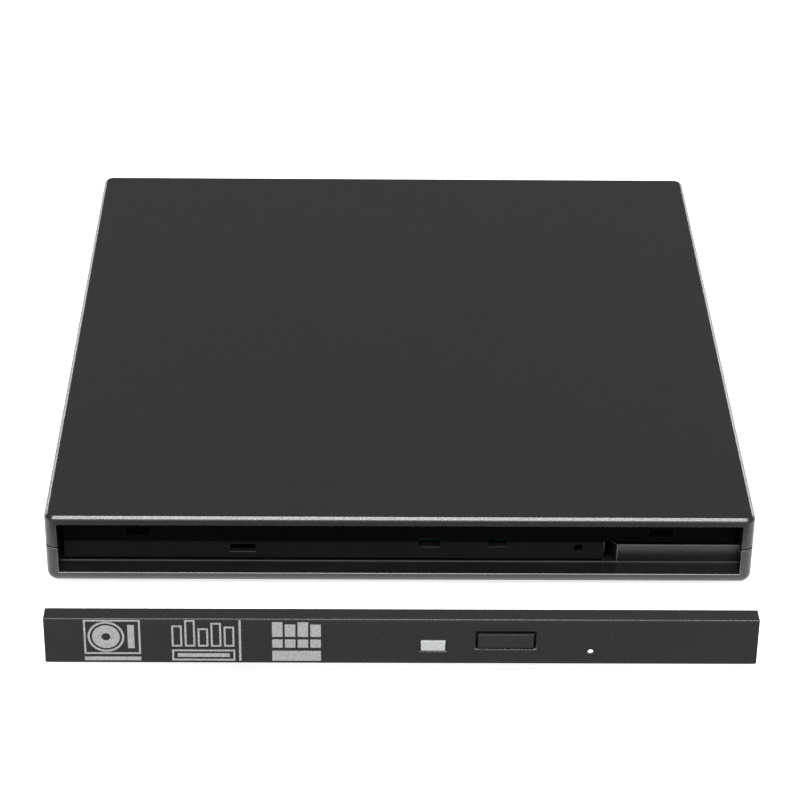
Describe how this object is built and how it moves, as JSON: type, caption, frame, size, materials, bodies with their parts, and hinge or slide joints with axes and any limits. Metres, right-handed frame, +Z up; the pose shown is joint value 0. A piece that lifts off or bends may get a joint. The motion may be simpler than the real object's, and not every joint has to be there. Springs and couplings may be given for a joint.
{
  "type": "external optical drive",
  "caption": "Flat black USB case holding a slim tray disc drive, with an open bay mouth and a clip-on faceplate shown loose in front of it.",
  "frame": {"origin": "centre of the case's flat underside", "axes": "+X right, -Y front (the bay mouth), +Z up"},
  "size_m": [0.1346, 0.1747, 0.0157],
  "materials": {
    "case_plastic": "fine spark-eroded texture",
    "tray_plastic": "satin moulding",
    "light_plastic": "natural acetal",
    "window_plastic": "translucent diffusing",
    "rubber": "matt",
    "sheet_steel": "plated sheet",
    "bright_steel": "ground",
    "dark_steel": "black plated",
    "cast_alloy": "die cast",
    "board_green": "solder mask on glass-epoxy laminate",
    "chip_black": "moulded epoxy",
    "amber_film": "polyimide film",
    "clear_lens": "coated"
  },
  "bodies": {
    "case": {"upper_shell": "case_plastic", "lower_shell": "case_plastic", "foot_front_left": "rubber", "foot_front_right": "rubber", "foot_rear_left": "rubber", "foot_rear_right": "rubber", "case_screw_left": "dark_steel", "case_screw_right": "dark_steel", "bridge_board": "board_green", "bridge_chip": "chip_black", "crystal": "bright_steel", "sata_socket": "chip_black", "usb_port": "sheet_steel", "power_jack": "chip_black", "board_screw_left": "bright_steel", "board_screw_right": "bright_steel", "drive_pan": "sheet_steel", "drive_cover": "sheet_steel", "rear_board": "board_green", "sata_plug": "chip_black", "flex_cable": "amber_film", "latch_post": "bright_steel", "rail_guide_left": "tray_plastic", "rail_guide_right": "tray_plastic"},
    "left_rail": {"rail_left": "bright_steel"},
    "right_rail": {"rail_right": "bright_steel"},
    "tray": {"tray": "tray_plastic", "tray_cover": "sheet_steel", "traverse_plate": "dark_steel", "damper_1": "rubber", "damper_2": "rubber", "damper_3": "rubber", "main_rod": "bright_steel", "sub_rod": "bright_steel", "sled_motor": "bright_steel", "spindle_motor": "cast_alloy", "tray_board": "board_green", "controller_chip": "chip_black", "eject_switch": "bright_steel", "status_led": "window_plastic", "latch_solenoid": "dark_steel", "latch_pivot": "bright_steel"},
    "spindle": {"turntable": "cast_alloy", "disc_ring": "rubber"},
    "claw_1": {"chuck_claw_1": "light_plastic"},
    "claw_2": {"chuck_claw_2": "light_plastic"},
    "claw_3": {"chuck_claw_3": "light_plastic"},
    "lead_screw": {"lead_screw": "bright_steel"},
    "pickup": {"pickup_body": "cast_alloy", "drive_nut": "light_plastic"},
    "lens": {"lens_holder": "tray_plastic", "lens": "clear_lens"},
    "solenoid_plunger": {"solenoid_plunger": "bright_steel"},
    "latch": {"latch_lever": "light_plastic"},
    "switch_plunger": {"switch_plunger": "light_plastic"},
    "faceplate": {"faceplate": "case_plastic", "light_pipe": "window_plastic"},
    "eject_button": {"eject_button": "case_plastic"}
  },
  "joints": [
    {"name": "tray_slide", "type": "slide", "parent": "case", "child": "tray", "axis": [0, -1, 0], "range_m": [0, 0.13]},
    {"name": "left_rail_slide", "type": "slide", "parent": "case", "child": "left_rail", "axis": [0, -1, 0], "range_m": [0, 0.065]},
    {"name": "right_rail_slide", "type": "slide", "parent": "case", "child": "right_rail", "axis": [0, -1, 0], "range_m": [0, 0.065]},
    {"name": "spindle_spin", "type": "hinge", "parent": "tray", "child": "spindle", "pos_m": [0, -0.0045, 0.008], "axis": [0, 0, 1], "continuous": true},
    {"name": "claw_1_slide", "type": "slide", "parent": "spindle", "child": "claw_1", "axis": [-1, 0, 0], "range_m": [0, 0.0004]},
    {"name": "claw_2_slide", "type": "slide", "parent": "spindle", "child": "claw_2", "axis": [0.5, -0.866, 0], "range_m": [0, 0.0004]},
    {"name": "claw_3_slide", "type": "slide", "parent": "spindle", "child": "claw_3", "axis": [0.5, 0.866, 0], "range_m": [0, 0.0004]},
    {"name": "pickup_slide", "type": "slide", "parent": "tray", "child": "pickup", "axis": [-0.7071, -0.7071, 0], "range_m": [0, 0.034]},
    {"name": "lead_screw_spin", "type": "hinge", "parent": "tray", "child": "lead_screw", "pos_m": [0.00516, -0.02663, 0.0054], "axis": [-0.7071, -0.7071, 0], "range_deg": [0, 4080]},
    {"name": "lens_focus", "type": "slide", "parent": "pickup", "child": "lens", "axis": [0, 0, 1], "range_m": [-0.0003, 0.0003]},
    {"name": "solenoid_slide", "type": "slide", "parent": "tray", "child": "solenoid_plunger", "axis": [-1, 0, 0], "range_m": [0, 0.00094248]},
    {"name": "latch_turn", "type": "hinge", "parent": "tray", "child": "latch", "pos_m": [0.0309, -0.04, 0.0065], "axis": [0, 0, 1], "range_deg": [0, 12]},
    {"name": "switch_press", "type": "slide", "parent": "tray", "child": "switch_plunger", "axis": [0, 1, 0], "range_m": [0, 0.0004]},
    {"name": "faceplate_fit", "type": "slide", "parent": "tray", "child": "faceplate", "axis": [0, 1, 0], "range_m": [0, 0.0295]},
    {"name": "eject_press", "type": "slide", "parent": "faceplate", "child": "eject_button", "axis": [0, 1, 0], "range_m": [0, 0.0008]}
  ],
  "couplings": [
    {"joint": "left_rail_slide", "follows": "tray_slide", "ratio": 0.5},
    {"joint": "right_rail_slide", "follows": "tray_slide", "ratio": 0.5},
    {"joint": "lead_screw_spin", "follows": "pickup_slide", "rad_per_m": 2094.4},
    {"joint": "claw_2_slide", "follows": "claw_1_slide", "ratio": 1},
    {"joint": "claw_3_slide", "follows": "claw_1_slide", "ratio": 1},
    {"joint": "latch_turn", "follows": "solenoid_slide", "rad_per_m": 222.22},
    {"joint": "switch_press", "follows": "eject_press", "ratio": 0.5}
  ]
}
